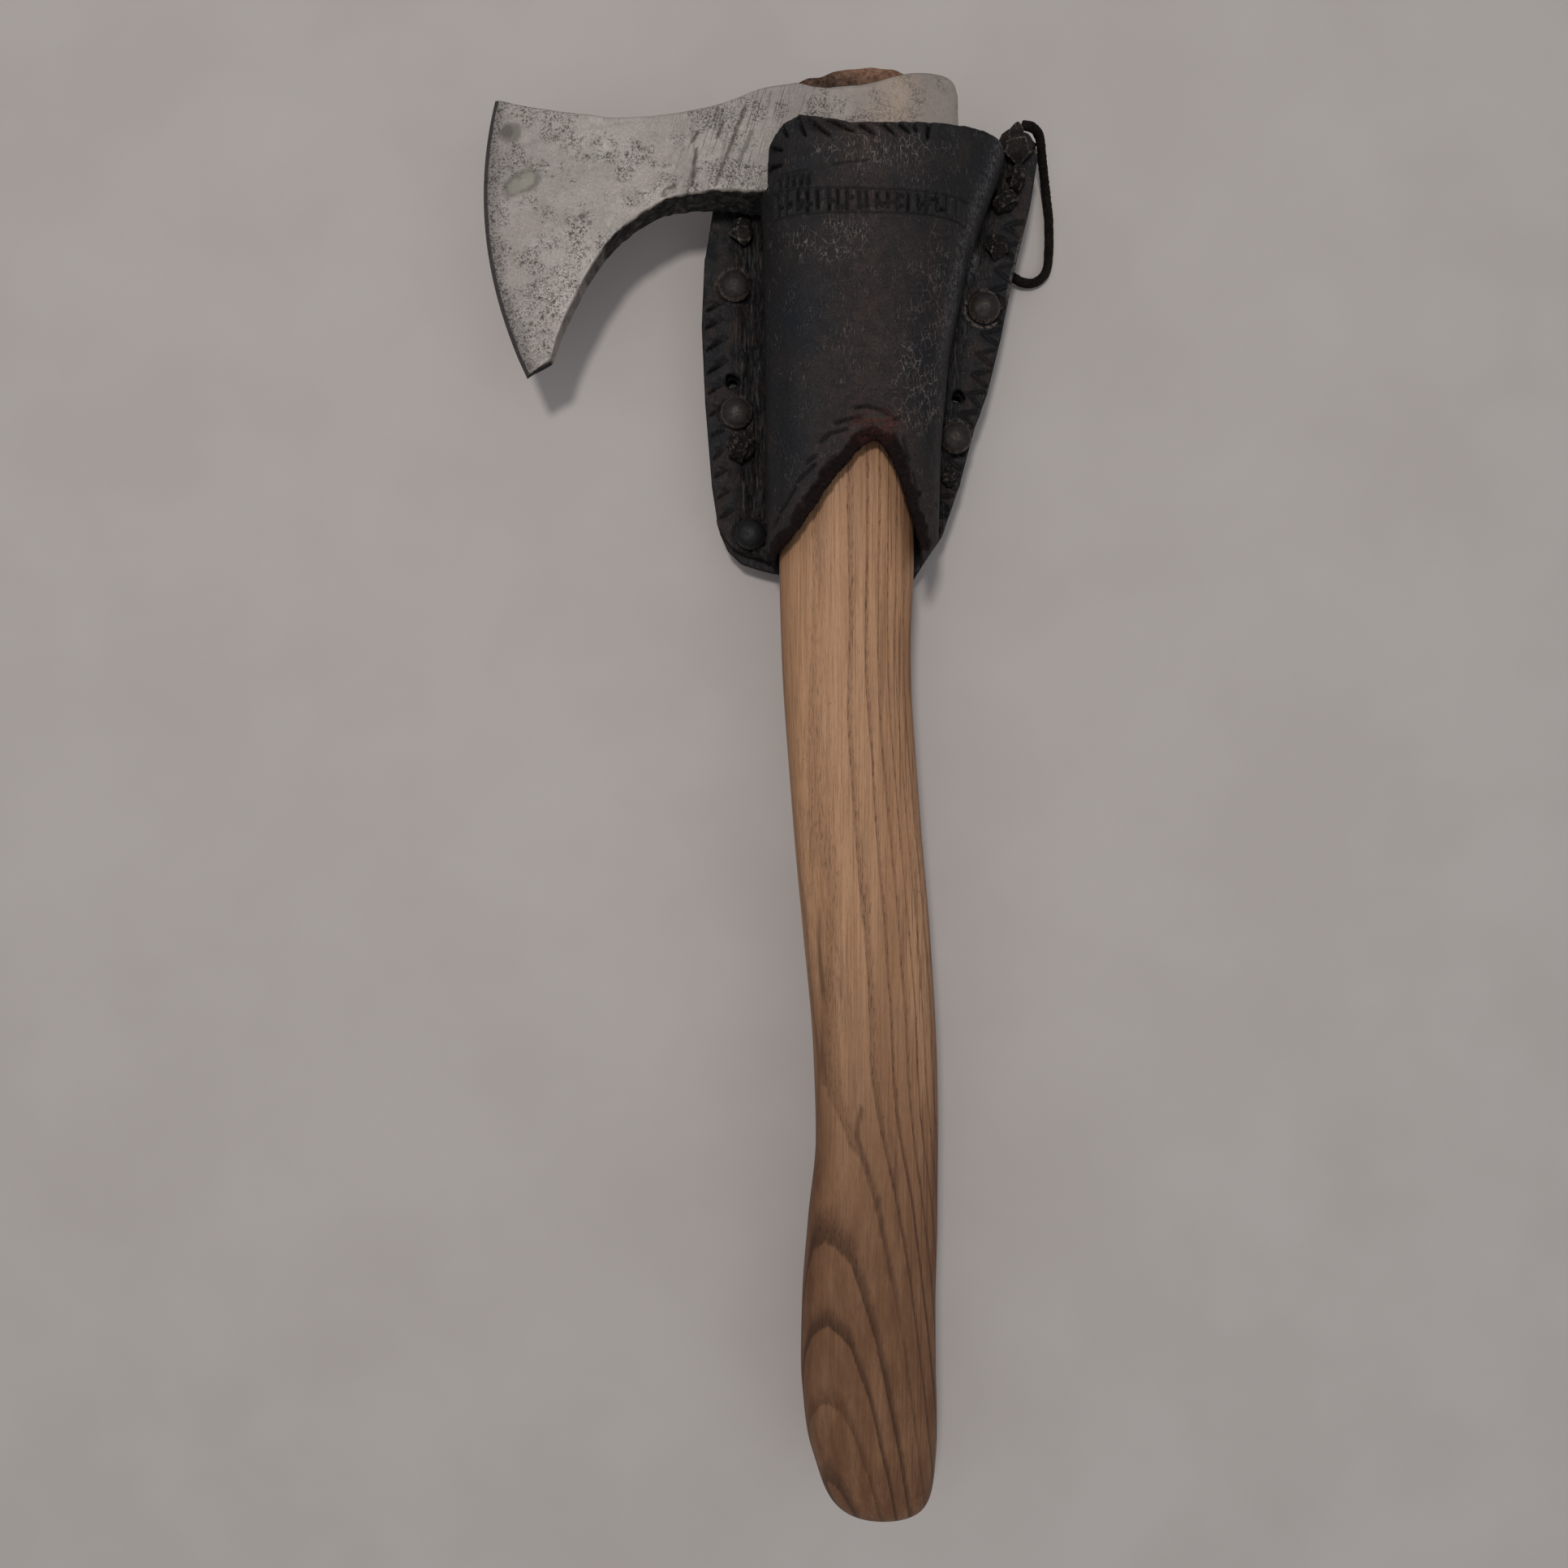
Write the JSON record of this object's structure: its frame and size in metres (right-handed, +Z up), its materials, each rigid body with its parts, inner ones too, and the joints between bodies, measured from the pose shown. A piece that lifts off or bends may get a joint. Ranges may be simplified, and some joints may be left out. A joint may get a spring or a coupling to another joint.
{
  "type": "belt axe in leather holster",
  "caption": "Small bearded axe with a curved wooden haft, carried head up in a riveted leather belt holster; the axe slides out of the sleeve.",
  "frame": {"origin": "bottom centre of the box round everything but the carrying cord: under the middle of the object, on the surface that the belt loop rests on", "axes": "+X across the haft, away from the blade; +Y along the haft, from its butt towards the head, which is the way the axe is drawn; +Z up, from the belt loop towards the moulded front panel"},
  "size_m": [0.1784, 0.4334, 0.0445],
  "materials": {
    "head_steel": "pitted forged steel with a worn patina",
    "ash_wood": "bare oiled ash",
    "wedge_wood": "oiled end grain",
    "shim_leather": "raw edge",
    "holster_leather": "black, waxed and worn",
    "welt_leather": "raw brown edge",
    "thong_leather": "rough side out",
    "rivet_steel": "gunmetal, rubbed bright on the rims",
    "cord_leather": "round lace with a rough nap"
  },
  "bodies": {
    "holster": {"front_panel": "holster_leather", "back_panel": "holster_leather", "left_welt": "welt_leather", "right_welt": "welt_leather", "belt_loop": "holster_leather", "left_upper_rivet": "rivet_steel", "left_upper_burr": "rivet_steel", "left_middle_rivet": "rivet_steel", "left_middle_burr": "rivet_steel", "left_lower_rivet": "rivet_steel", "left_lower_burr": "rivet_steel", "right_upper_rivet": "rivet_steel", "right_upper_burr": "rivet_steel", "right_lower_rivet": "rivet_steel", "right_lower_burr": "rivet_steel", "belt_upper_left_rivet": "rivet_steel", "belt_upper_left_burr": "rivet_steel", "belt_upper_right_rivet": "rivet_steel", "belt_upper_right_burr": "rivet_steel", "belt_lower_left_rivet": "rivet_steel", "belt_lower_left_burr": "rivet_steel", "belt_lower_right_rivet": "rivet_steel", "belt_lower_right_burr": "rivet_steel", "left_upper_knot": "thong_leather", "left_lower_knot": "thong_leather", "right_top_knot": "thong_leather", "right_second_knot": "thong_leather", "right_third_knot": "thong_leather", "right_middle_knot": "thong_leather", "right_lower_knot": "thong_leather", "left_thong": "thong_leather", "right_thong": "thong_leather", "carrying_cord": "cord_leather"},
    "axe": {"axe_head": "head_steel", "haft": "ash_wood", "eye_wedge": "wedge_wood", "eye_shim": "shim_leather"}
  },
  "joints": [
    {"name": "axe_draw", "type": "slide", "parent": "holster", "child": "axe", "axis": [-0.018, 0.9998, 0], "range_m": [0, 0.4]}
  ]
}
